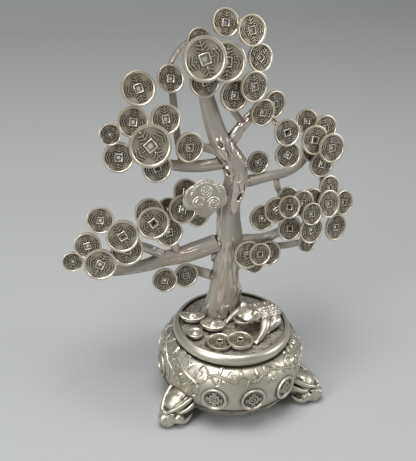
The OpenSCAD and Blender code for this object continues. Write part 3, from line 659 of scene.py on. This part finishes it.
def makeBowl():
    look = bowlLook
    middle, height, wide, half = look["collar"]
    line = [(23.6, 35.75), (25.55, 35.75), (25.55, 38.2), (25.65, 38.42)]
    for step in range(15):
        turn = math.radians(90 - 180 * step / 14)
        line.append((middle + wide * math.cos(turn), height + half * math.sin(turn)))
    line += [(25.75, 32.3), (25.9, 32.1)]
    line += [(bellyRadius(z), z) for z in [32, 31.6, 31, 30, 29, 28, 27, 26, 25, 24, 23, 22, 21, 20, 19, 18, 17, 16, 15,
                                           14, 13, 12.2]]
    line += [(bellyRadius(11.9) + 0.1, 11.9), (bellyRadius(11.8) + 0.45, 11.75), (bellyRadius(11.4) + 0.45, 11.35),
             (bellyRadius(11.2), 11.2)]
    line += [(bellyRadius(z), z) for z in [10, 9, 8, 7]] + [(bellyRadius(6.5) + 0.3, 6.6), (bellyRadius(6.2) + 0.3, 6.1)]
    line += [(bellyRadius(z), z) for z in [5.8, 5, 4.2, 3.5]] + [(24, 3), (21.2, 3), (21.2, 7.2), (19, 7.2), (19, 9.6),
             (26, 11.2), (30.6, 15), (32.4, 21), (30.4, 27), (26, 30.6), (23.6, 31.4), (23.6, 35.75)]
    bowl = turned("bowlBody", line)
    lines = []
    for base in (0, 120, 240):
        for thick, knots in look["vines"]:
            run = flowing(knots, 6)
            last = len(run) - 1
            lines.append([(onBelly(base + a, z, 0.05), mm * thick * (0.35 + 0.65 * math.sin(math.pi * (0.18 + 0.72 * i / last))))
                          for i, (a, z) in enumerate(run)])
            # the end of each vine rolls into a curl
            (a0, z0), (a1, z1) = run[-2], run[-1]
            reach = math.radians(1) * bellyRadius(z1)
            way = math.atan2(z1 - z0, (a1 - a0) * reach)
            curl, at, spot = [], way, [a1 * reach, z1]
            for step in range(16):
                at += 0.42
                spot = [spot[0] + (0.55 - step * 0.024) * math.cos(at), spot[1] + (0.55 - step * 0.024) * math.sin(at)]
                curl.append((onBelly(base + spot[0] / reach, min(spot[1], 32), 0.05), mm * thick * (0.52 - step * 0.01)))
            lines.append(curl)
        for a, z, turn in look["leaves"]:
            reach = math.radians(1) * bellyRadius(z)
            way, leaf = math.radians(turn), []
            for step in range(8):
                share = step / 7
                far = look["leafLength"] * (share - 0.5)
                bend = 0.7 * math.sin(math.pi * share)
                x, y = far * math.cos(way) - bend * math.sin(way), far * math.sin(way) + bend * math.cos(way)
                leaf.append((onBelly(base + a + x / reach, min(z + y, 32), -0.25),
                             mm * (0.12 + look["leafWidth"] * math.sin(math.pi * share ** 0.75))))
            lines.append(leaf)
    low, high = look["band"]
    for group in range(look["groups"]):
        for stroke in range(look["strokes"]):
            at = 360 / look["groups"] * (group + (stroke + 0.5) / look["strokes"] * 0.86)
            lean = 4.5 if group % 2 else -4.5
            lines.append([(onBelly(at + lean * (t - 0.5), low + (high - low) * t, -0.02), mm * look["line"])
                          for t in (0.04, 0.35, 0.65, 0.96)])
    relief = tubes("relief", lines)
    count = len(bowl.data.vertices)
    bowl = joined("bowlBody", [bowl, relief])
    flags = np.zeros(len(bowl.data.vertices))
    places = points(bowl) / mm
    away = np.hypot(places[:, 0] - axis.x / mm, places[:, 1] - axis.y / mm)
    # colour zones: the collar top is set lighter, the belly below z 12 darker as painted shade under the belly, and the
    # faces inside r 25.7, the underside and the groove round the top plate, darkest as painted shade with patina
    flags[:count] = np.where(places[:count, 2] > 32.3, 0.4, np.where(places[:count, 2] < 12, 0.82, 0.58))
    flags[:count] = np.where((away[:count] < 25.7), 0.9, flags[:count])
    flags[count:] = 0.33
    setHollowAndShade(bowl, flags)
    softened(bowl, 40)
    return showAs(bowl, "bowl_metal", "bowl_body", material=bowlMetal)


makeBowl()


# Top plate: a grainy floor

plate = nodeCopy("top_plate", "topPlate")
modify(plate, "REMESH", mode="VOXEL", voxel_size=0.4 * mm)
places = points(plate)
rough = np.array([mathutils.noise.noise(Vector(p) * 900) + 0.6 * mathutils.noise.noise(Vector(p) * 260) for p in places])
inner = np.hypot(places[:, 0] - axis.x, places[:, 1] - axis.y) < 24.6 * mm
top = places[:, 2] > plateTop - 0.3 * mm
places[:, 2] += np.where(inner & top, 0.16 * mm * rough, 0)
movePoints(plate, places)
setHollowAndShade(plate, np.where(inner & top, 0.72 - 0.35 * np.clip(rough, -1, 1), 0.6))
softened(plate, 60)
showAs(plate, "cast_metal", "top_plate", material=castMetal)


# Medallions: a thick ring round a sunk field with a woven knot

medalLook = {"radius": 5.95, "thick": 1.7, "rim": 1.0, "sink": 0.8, "line": 0.42}


def makeMedal():
    look = medalLook
    bpy.ops.mesh.primitive_cylinder_add(vertices=64, radius=look["radius"] * mm, depth=look["thick"] * mm,
                                        location=(0, 0, look["thick"] / 2 * mm))
    medal = added()
    editSelected(medal, lambda face: face.normal.z > 0.9)
    bpy.ops.mesh.inset(thickness=look["rim"] * mm)
    bpy.ops.mesh.inset(thickness=0.3 * mm, depth=-look["sink"] * mm)
    leave()
    modify(medal, "BEVEL", width=0.34 * mm, segments=3, limit_method="ANGLE", angle_limit=math.radians(40))
    count = len(medal.data.vertices)
    field = look["thick"] - look["sink"]
    square = [(-1.5, -1.5), (1.5, -1.5), (1.5, 1.5), (-1.5, 1.5), (-1.5, -1.5)]
    loops = [[(x * 1.25, y * 1.25) for x, y in square], [((x - y) * 0.95, (x + y) * 0.95) for x, y in square]]
    loops += [[(0.9 * math.cos(a), 0.9 * math.sin(a)) for a in np.linspace(0, 2 * math.pi, 17)]]
    loops += [[(3.5 * math.cos(a + t), 3.5 * math.sin(a + t)) for t in (-0.32, -0.1, 0.1, 0.32)]
              for a in (0, math.pi / 2, math.pi, 3 * math.pi / 2)]
    motif = tubes("motif", [[((x * mm, y * mm, (field + 0.12) * mm), look["line"] * mm) for x, y in loop] for loop in loops], 2)
    medal = joined("masterMedal", [medal, motif])
    z = points(medal)[:, 2] / mm
    flags = np.where(z < field + 0.1, 0.8, 0.36)
    flags[count:] = 0.4
    setHollowAndShade(medal, flags)
    return medal


masterMedal = makeMedal()
medals = []
for place, _ in discFrames("medallions"):
    middle = place.translation
    out = Vector((middle.x - axis.x, middle.y - axis.y, 0)).normalized()
    up = Vector((0, 0, 1))
    basis = Matrix((up.cross(out), up, out)).transposed().to_4x4()
    seat = axis + out * (middle.xy - axis.xy).length + up * middle.z - out * medalLook["thick"] / 2 * mm
    medals.append(copied(masterMedal, "medal", Matrix.Translation(seat) @ basis))
bpy.data.objects.remove(masterMedal)
medals = joined("medallions", medals)
softened(medals, 40)
showAs(medals, "cast_metal", "medallions", material=castMetal)
print("bowl, plate and medallions made")


# Figures are blobs and tubes run together into one casting, then given their lines

def blob(place, radius, stretch=(1, 1, 1), turn=(0, 0, 0)):
    bpy.ops.mesh.primitive_uv_sphere_add(segments=20, ring_count=12, radius=radius * mm,
                                         location=Vector(place) * mm, rotation=[math.radians(a) for a in turn],
                                         scale=stretch)
    return added()


def cord(*knots, steps=5):
    # knots of (x, y, z, radius) in millimetres
    return tubes("cord", [[(Vector(k[:3]) * mm, max(k[3], 0.05) * mm) for k in flowing(knots, steps)]], 2)


def cast(name, parts, cell, relax=2):
    whole = joined(name, parts)
    modify(whole, "REMESH", mode="VOXEL", voxel_size=cell * mm)
    movePoints(whole, smoothed(points(whole), edgesOf(whole), relax))
    return whole


def cutLines(piece, lines, grow=1.0):
    # press a groove along each line of (x, y, z, width, depth); a negative depth raises a ridge
    places, ups = points(piece), normalsOf(piece)
    pressed = np.zeros(len(places))
    for line in lines:
        run = np.array(flowing(line, 8))
        for knot in run:
            far = np.linalg.norm(places / mm - knot[:3], axis=1)
            dent = knot[4] * np.exp(-(far / knot[3]) ** 2)
            pressed = np.where(np.abs(dent) > np.abs(pressed), dent, pressed)
    movePoints(piece, places - ups * (pressed * mm * grow)[:, None])


# Beast-head foot: looks outwards along -Y from the bowl's axis, then copied round to its three places

footLook = {"reach": 42, "cell": 0.27}


def makeFoot():
    parts = [blob((0, -33, 9.6), 7, (1, 1.15, 0.98)), blob((0, -38, 9.4), 6.4, (1, 1, 0.9)), blob((0, -29.5, 10.5), 5.4),
             blob((0, -42.4, 5.4), 5.2, (1, 1, 0.86)), blob((0, -45.2, 4.4), 3.5, (1.1, 1, 0.8)),
             blob((0, -47, 5.7), 1.9, (1.25, 0.9, 0.9)), blob((0, -45, 8), 1.5, (1, 1.7, 0.8), (-42, 0, 0)),
             blob((0, -43.6, 1.6), 3.4, (1.1, 1.1, 0.46)), blob((0, -39.6, 2.6), 4.6, (1, 1, 0.55))]
    for s in (-1, 1):
        parts += [blob((s * 1.5, -47.4, 5.1), 0.95), blob((s * 3.3, -43.9, 8.1), 1.35), blob((s * 4.5, -41, 5), 2.9),
                  blob((s * 2.6, -45.4, 3), 1.6, (1, 1, 0.8)),
                  cord((s * 0.9, -46, 8.2, 0.7), (s * 2.6, -44.6, 10, 0.95), (s * 4.6, -41.8, 11.4, 1.1),
                       (s * 5.8, -38.4, 12.8, 1.2), (s * 6.4, -35.2, 14.4, 1.1), (s * 6.2, -32.6, 16, 0.5)),
                  cord((s * 5.6, -41.6, 8.8, 0.5), (s * 6.8, -38.8, 9.4, 1), (s * 7.4, -35.6, 10.8, 1.2),
                       (s * 7.2, -32.4, 12.6, 0.5)),
                  cord((s * 5.2, -43, 4.4, 0.4), (s * 6.4, -40.6, 3.2, 0.9), (s * 6.9, -37.4, 3.4, 1), (s * 6.7, -34.2, 5, 0.4)),
                  cord((s * 1.2, -43.6, 11.2, 0.4), (s * 1.8, -40.4, 13.4, 0.6), (s * 2, -36.6, 14.8, 0.6), (s * 1.7, -33.4, 15.4, 0.3)),
                  cord((s * 1.6, -46.6, 3.6, 0.5), (s * 3.4, -45.3, 3.1, 0.6), (s * 4.9, -43, 3.6, 0.5))]
    foot = cast("masterFoot", parts, footLook["cell"])
    lines = []
    for s in (-1, 1):
        lines += [
            [(0, -48, 3.1, 0.5, 0.7), (s * 2.2, -46.8, 2.4, 0.5, 0.8), (s * 4.4, -44, 2.4, 0.5, 0.8), (s * 5.6, -41, 3.8, 0.5, 0.5)],
            [(s * 2, -45.2, 8.6, 0.35, 0.5), (s * 3.4, -44.4, 9.4, 0.35, 0.6), (s * 4.7, -42.6, 8.8, 0.35, 0.5),
             (s * 4.4, -43.6, 7, 0.35, 0.5), (s * 2.8, -45.2, 7, 0.35, 0.5), (s * 2, -45.4, 8.2, 0.35, 0.5)],
            [(s * 3.4, -45, 8.1, 0.45, 0.35), (s * 3.4, -45, 8.0, 0.45, 0.35)],
            [(s * 5.9, -37.4, 13.8, 0.35, 0.6), (s * 6.4, -35, 15.2, 0.4, 0.9), (s * 6.2, -33.4, 15.9, 0.35, 0.6)],
            [(s * 1.4, -47.8, 4.9, 0.4, 0.6), (s * 1.8, -48, 4.8, 0.4, 0.6)],
            [(s * 3, -42.6, 11.8, 0.35, 0.4), (s * 3.8, -39, 13.4, 0.35, 0.5), (s * 4, -35.6, 14.6, 0.35, 0.4)],
            [(s * 6.4, -40.4, 7.2, 0.4, 0.5), (s * 7.2, -37, 7.6, 0.4, 0.6), (s * 7.2, -33.6, 9, 0.4, 0.4)],
            [(s * 5.6, -42.2, 6.4, 0.35, 0.4), (s * 6, -41.8, 5.4, 0.35, 0.4)],
        ]
    lines.append([(0, -44.6, 9.6, 0.4, 0.5), (0, -41, 12.8, 0.4, 0.5), (0, -36, 15, 0.4, 0.5)])
    cutLines(foot, lines)
    places = points(foot)
    places[:, 1] += 1.1 * mm
    places[:, 2] = np.maximum(places[:, 2], 0.02 * mm)
    movePoints(foot, places)
    markHollows(foot, 9, 0.2)
    return foot


def turnedToPlace(turn):
    return Matrix.Translation(axis) @ Matrix.Rotation(math.radians(turn), 4, "Z")


masterFoot = makeFoot()
for node, turn in (("foot_left", -60), ("foot_right", 60), ("foot_back", 180)):
    first, word = node.split("_")
    low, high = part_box(node)
    foot = copied(masterFoot, first + word.capitalize(), turnedToPlace(turn))
    softened(foot, 60)
    showAs(foot, "bowl_metal", node, material=bowlMetal)
bpy.data.objects.remove(masterFoot)
print("feet cast")


# Toad on the plate: looks along its own -X, a coin in its mouth

toadLook = {"place": (14, -3, 24), "cell": 0.25}


def onPlate(x, y, turn):
    return (Matrix.Translation(axis + Vector((x, y, 0)) * mm + Vector((0, 0, plateTop + 0.1 * mm)))
            @ Matrix.Rotation(math.radians(turn), 4, "Z"))


def makeToad():
    parts = [blob((3.4, 0, 4.8), 5.4, (1.25, 1.18, 0.86), (0, 12, 0)), blob((-2.5, 0, 6.8), 5.2, (1.15, 1.2, 0.8), (0, 12, 0)),
             blob((-8.6, 0, 8.9), 4.2, (1.15, 1.4, 0.66), (0, 6, 0)), blob((-11.4, 0, 8.7), 3.3, (1.05, 1.5, 0.6)),
             blob((8.2, 0, 3.2), 3.4, (1, 1.2, 0.8)), blob((-9.8, 0, 7.6), 3.6, (1.1, 1.35, 0.5)),
             cord((-6.4, -5.4, 10.6, 0.5), (-8.6, -3.6, 11.6, 0.8), (-9.6, 0, 11.7, 0.8), (-8.6, 3.6, 11.6, 0.8), (-6.4, 5.4, 10.6, 0.5))]
    for s in (-1, 1):
        parts += [cord((-3, s * 4.4, 6.6, 2.2), (-5, s * 7.6, 6, 2.5), (-8, s * 9.6, 3.9, 1.9), (-11, s * 10.2, 1.7, 1.5), (-12.4, s * 10.4, 1, 1)),
                  cord((5, s * 3.6, 3.8, 2.4), (3.2, s * 6.4, 3.6, 2.9), (-0.6, s * 7.4, 2.1, 2), (-2.6, s * 7.8, 1.1, 1.1)),
                  cord((4.6, s * 6.4, 5, 0.8), (1.6, s * 7.9, 4.6, 1.1), (-1.4, s * 8.2, 2.6, 0.7)),
                  blob((-8.6, s * 4.4, 11.7), 1.75, (1.05, 1, 1)),
                  cord((-10.6, s * 3.6, 11.2, 0.35), (-9.6, s * 4.8, 12.5, 0.5), (-7.6, s * 5.2, 12.6, 0.5), (-6.4, s * 4.6, 11.4, 0.35)),
                  blob((-14.1, s * 1.2, 9.9), 0.6)]
        for spread in (-22, 0, 24):
            way = math.radians(180 + s * spread * -1)
            parts.append(cord((-11.6, s * 10.3, 1, 0.8), (-11.6 + 2 * math.cos(way), s * 10.3 + 2 * math.sin(way), 0.8, 0.62),
                              (-11.6 + 3.2 * math.cos(way), s * 10.3 + 3.2 * math.sin(way), 0.5, 0.3)))
            parts.append(cord((-2, s * 7.7, 1, 0.8), (-2 + 2.2 * math.cos(way), s * 7.7 + 2.2 * math.sin(way), 0.7, 0.6),
                              (-2 + 3.4 * math.cos(way), s * 7.7 + 3.4 * math.sin(way), 0.5, 0.3)))
    toad = cast("toad", parts, toadLook["cell"])
    lines = [[(-10.4, -5, 8, 0.4, 0.7), (-13.2, -3.6, 8.5, 0.4, 0.8), (-14.6, 0, 8.6, 0.4, 0.8), (-13.2, 3.6, 8.5, 0.4, 0.8), (-10.4, 5, 8, 0.4, 0.7)],
             [(8.6, 0, 6.6, 0.4, 0.5), (3, 0, 9.8, 0.4, 0.5), (-4, 0, 11, 0.4, 0.5)]]
    for s in (-1, 1):
        lines.append([(-9.8, s * 5.6, 11.4, 0.35, 0.5), (-8.8, s * 6.2, 12, 0.35, 0.5), (-7.4, s * 6, 11.6, 0.35, 0.5)])
    cutLines(toad, lines)
    shell = treeOf(toad)
    warts = []
    for row in (-3, -2, -1, 1, 2, 3):
        for step in range(7):
            x = 8.4 - step * 2.1 + (0.9 if row % 2 else 0)
            hit = shell.ray_cast(Vector((x, row * 1.75 * (0.75 + 0.06 * step), 20)) * mm, Vector((0, 0, -1)))[0]
            if hit:
                size = 0.72 - 0.04 * abs(row) + 0.12 * random.random()
                warts.append(blob(hit / mm, size, (1, 1, 0.8)))
    toad = joined("toad", [toad] + warts)
    modify(toad, "REMESH", mode="VOXEL", voxel_size=toadLook["cell"] * mm)
    movePoints(toad, smoothed(points(toad), edgesOf(toad), 1))
    places = points(toad)
    places[:, 2] = np.maximum(places[:, 2], 0)
    movePoints(toad, places)
    markHollows(toad, 6, 0.14)
    toad.data.transform(onPlate(*toadLook["place"]))
    coin = copied(masterCoin, "mouthCoin", onPlate(*toadLook["place"]) @ Matrix.Translation(Vector((-13.4, 0, 8)) * mm)
                  @ Matrix.Rotation(math.radians(8), 4, "Y") @ Matrix.Diagonal((0.6, 0.6, 0.6, 1)))
    return joined("toad", [toad, coin])


toad = makeToad()
softened(toad, 50)
showAs(toad, "cast_metal", "toad", material=castMetal)
bpy.data.objects.remove(masterCoin)


# Ingots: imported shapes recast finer, with a lip line and a ringed dome

def ringed(place, radius, thick, turn=None):
    bpy.ops.mesh.primitive_torus_add(major_segments=40, minor_segments=8, major_radius=radius * mm, minor_radius=thick * mm,
                                     location=place)
    return added()


pick(nodeCopy("boat_ingots", "boats"))
bpy.ops.mesh.separate(type="LOOSE")
boats = []
for boat in list(bpy.context.selected_objects):
    places = points(boat)
    middle = Vector((places.min(0) + places.max(0)) / 2)
    high = places[:, 2].max()
    far = np.hypot(*(places[:, :2] - middle.xy).T)
    tip = places[np.argmax(far)]
    way = math.atan2(tip[1] - middle.y, tip[0] - middle.x)
    local = Matrix.Translation((middle.x, middle.y, plateTop + 0.1 * mm)) @ Matrix.Rotation(way, 4, "Z")
    lips = [cord((-6, 0, 4.1, 0.3), (-4.6, s * 1.9, 3.4, 0.5), (-2.2, s * 2.7, 2.9, 0.5), (0, s * 2.9, 2.7, 0.5),
                 (2.2, s * 2.7, 2.9, 0.5), (4.6, s * 1.9, 3.4, 0.5), (6, 0, 4.1, 0.3)) for s in (-1, 1)]
    lips += [blob((0, 0, 3.2), 2, (1, 1, 0.95)), ringed((0, 0, 3.2 * mm), 2.3, 0.32)]
    for lip in lips:
        lip.data.transform(local)
    boats.append(cast("boat", [boat] + lips, 0.22, 2))
boats = joined("boatIngots", boats)
markHollows(boats, 6, 0.16)
softened(boats, 60)
showAs(boats, "cast_metal", "boat_ingots", material=castMetal)

roundIngot = nodeCopy("round_ingot", "roundIngot")
low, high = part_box("round_ingot")
middle = Vector(((low.x + high.x) / 2, (low.y + high.y) / 2, plateTop))
rings = [ringed(middle + Vector((0, 0, 2.3 * mm)), 3.4, 0.42), ringed(middle + Vector((0, 0, 2.1 * mm)), 1.7, 0.3)]
rings.append(blob((middle + Vector((0, 0, 2 * mm))) / mm, 1.3, (1, 1, 0.9)))
roundIngot = cast("roundIngot", [roundIngot] + rings, 0.2, 2)
markHollows(roundIngot, 6, 0.16)
softened(roundIngot, 60)
showAs(roundIngot, "cast_metal", "round_ingot", material=castMetal)
print("toad and ingots cast")


# Cloud plaque: spirals and rays on a stepped trefoil

def makePlaque():
    plaque = nodeCopy("cloud_plaque", "cloudPlaque")
    places = points(plaque)
    spread, ways = np.linalg.eigh(np.cov((places - places.mean(0)).T))
    out = Vector(ways[:, 0])
    out = -out if out.y > 0 else out
    right = Vector((1, 0, 0))
    right = (right - right.dot(out) * out).normalized()
    up = out.cross(right)
    up = -up if up.z < 0 else up
    flat = places @ np.array([right, up, out]).T
    middle = (flat.min(0) + flat.max(0)) / 2
    basis = Matrix((right, up, out)).transposed().to_4x4()
    local = basis @ Matrix.Translation((middle[0], middle[1], flat[:, 2].max()))
    for x, y, radius in ((0, 0, 7.6), (-4.4, 1.6, 5.2), (4.4, 1.6, 5.2)):
        bpy.ops.mesh.primitive_cylinder_add(vertices=64, radius=radius * mm, depth=1.7 * mm,
                                            location=(x * mm, y * mm, -1.4 * mm))
        disc = added()
        modify(disc, "BEVEL", width=0.5 * mm, segments=3, limit_method="ANGLE", angle_limit=math.radians(40))
        disc.data.transform(local)
        plaque = joined("cloudPlaque", [plaque, disc])
    modify(plaque, "REMESH", mode="VOXEL", voxel_size=0.24 * mm)
    movePoints(plaque, smoothed(points(plaque), edgesOf(plaque), 1))
    lines = []
    for x, y, start, hand in ((-3.4, -1.4, 20, 1), (3.6, -2.2, 160, -1), (0.2, 3.4, 250, 1)):
        coil = []
        for step in range(34):
            turn = math.radians(start + hand * step * 26)
            far = 2.9 * (1 - step / 36)
            coil.append((Vector((x + far * math.cos(turn), y + far * math.sin(turn), -0.45)) * mm, 0.34 * mm))
        lines.append(coil)
    for step in range(13):
        turn = math.radians(28 + step * 10)
        lines.append([(Vector((6.9 * math.cos(turn), 0.6 + 6.9 * math.sin(turn), -0.5)) * mm, 0.26 * mm),
                      (Vector((8.4 * math.cos(turn), 0.6 + 8.2 * math.sin(turn), -0.6)) * mm, 0.26 * mm)])
    arc = [(Vector((6.7 * math.cos(a), 0.6 + 6.7 * math.sin(a), -0.5)) * mm, 0.3 * mm)
           for a in np.linspace(math.radians(15), math.radians(165), 24)]
    relief = tubes("spirals", lines + [arc])
    relief.data.transform(local)
    plaque = joined("cloudPlaque", [plaque, relief])
    modify(plaque, "REMESH", mode="VOXEL", voxel_size=0.2 * mm)
    movePoints(plaque, smoothed(points(plaque), edgesOf(plaque), 1))
    markHollows(plaque, 6, 0.14)
    return plaque


plaque = makePlaque()
softened(plaque, 60)
showAs(plaque, "cast_metal", "cloud_plaque", material=castMetal)

for node in ("base_plate", "tie_rod", "rod_washer", "rod_nut"):
    nodes[node].data.materials.clear()
    nodes[node].data.materials.append(zincSteel)
print("plaque and hardware done")




# Floor, lights and camera

stageLook = {"floor": (0.39, 0.4, 0.4)}


def plainMatte(name, colour):
    finish = Finish(name)
    finish.put(finish.shader, "Base Color", (*colour, 1))
    finish.put(finish.shader, "Roughness", 0.85)
    return finish.material


bpy.ops.mesh.primitive_plane_add(size=1, location=(0, 0, 0))
floor = added()
floor.name = "floor"
editSelected(floor)
bpy.ops.transform.resize(value=(3, 1.6, 1))
bpy.ops.transform.translate(value=(0, 0.1, 0))
leave()
editSelected(floor, lambda v: v.co.y > 0.5, "VERT")
bpy.ops.mesh.extrude_region_move(TRANSFORM_OT_translate={"value": (0, 0.4, 0.25)})
bpy.ops.mesh.extrude_region_move(TRANSFORM_OT_translate={"value": (0, 0.1, 1.2)})
leave()
modify(floor, "BEVEL", width=0.3, segments=8, limit_method="ANGLE", angle_limit=math.radians(10))
softened(floor, 60)
floor.data.materials.append(plainMatte("paleFloor", stageLook["floor"]))


def softLamp(name, place, size, power):
    bpy.ops.object.light_add(type="AREA", location=axis + Vector(place))
    lamp = bpy.context.object
    lamp.name = name
    lamp.data.size, lamp.data.energy = size, power
    aim = axis + Vector((0, 0, 0.09)) - lamp.location
    lamp.rotation_euler = aim.to_track_quat("-Z", "Y").to_euler()


softLamp("topSoft", (-0.15, -0.1, 0.9), 0.5, 7)
softLamp("leftSoft", (-0.75, -0.45, 0.5), 0.35, 4)
softLamp("rightSoft", (0.8, -0.3, 0.45), 0.35, 2.5)
world = bpy.data.worlds.new("softRoom")
bpy.context.scene.world = world
world.use_nodes = True
world.node_tree.nodes["Background"].inputs["Color"].default_value = (0.5, 0.5, 0.5, 1)
world.node_tree.nodes["Background"].inputs["Strength"].default_value = 0.55

shot = {"place": (-109, -297, 268), "yaw": 17.7, "pitch": 29.6, "roll": 2.5, "lens": 62.5}
yaw, pitch, roll = (math.radians(shot[k]) for k in ("yaw", "pitch", "roll"))
ahead = Vector((math.sin(yaw) * math.cos(pitch), math.cos(yaw) * math.cos(pitch), -math.sin(pitch)))
level = ahead.cross(Vector((0, 0, 1))).normalized()
upright = level.cross(ahead)
side = level * math.cos(roll) + upright * math.sin(roll)
top = upright * math.cos(roll) - level * math.sin(roll)
bpy.ops.object.camera_add()
camera = bpy.context.object
camera.matrix_world = (Matrix.Translation(axis + Vector(shot["place"]) * mm)
                       @ Matrix((side, top, -ahead)).transposed().to_4x4())
camera.data.lens = shot["lens"]
camera.data.clip_start = 0.01
bpy.context.scene.camera = camera
bpy.context.scene.view_settings.view_transform = "Standard"
print("stage set")
